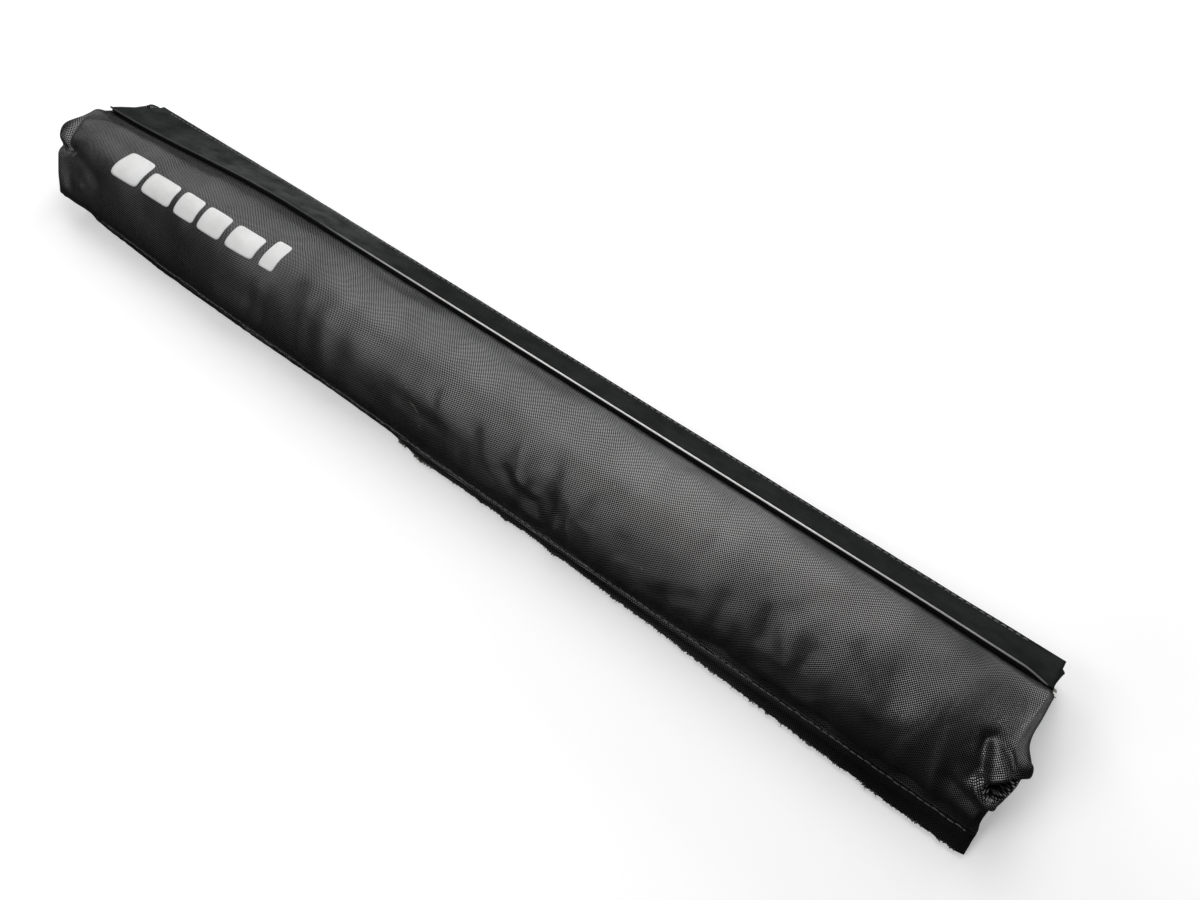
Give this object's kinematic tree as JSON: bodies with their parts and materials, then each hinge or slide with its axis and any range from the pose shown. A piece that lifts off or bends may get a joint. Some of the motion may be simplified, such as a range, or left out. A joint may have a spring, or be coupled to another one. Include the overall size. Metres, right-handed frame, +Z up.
{
  "type": "roof rack pad",
  "caption": "Long foam pad in a black woven cover that closes round a roof bar with a hook-and-loop flap, to cushion a load carried on top.",
  "frame": {"origin": "middle of the underside, midway between the two ends and between the front hem's edge and the back", "axes": "+X along the pad to its right end, +Y from the stitched front hem to the closure at the back, +Z up towards the load"},
  "size_m": [0.711, 0.1123, 0.0645],
  "materials": {
    "foam_core": "closed-cell foam, dull",
    "top_cover": "coated plain-weave polyester, slight sheen",
    "base_panel": "coated plain-weave polyester, slight sheen",
    "left_end_panel": "thin coated liner cloth, glossy",
    "right_end_panel": "thin coated liner cloth, glossy",
    "loop_tape": "brushed nylon loops, dull",
    "hook_tape": "smooth woven back, dull",
    "closing_flap": "coated plain-weave polyester, slight sheen"
  },
  "bodies": {
    "root": {"foam_core": "foam_core", "top_cover": "top_cover", "base_panel": "base_panel", "left_end_panel": "left_end_panel", "right_end_panel": "right_end_panel", "loop_tape": "loop_tape", "hook_tape": "hook_tape", "closing_flap": "closing_flap"}
  },
  "joints": []
}
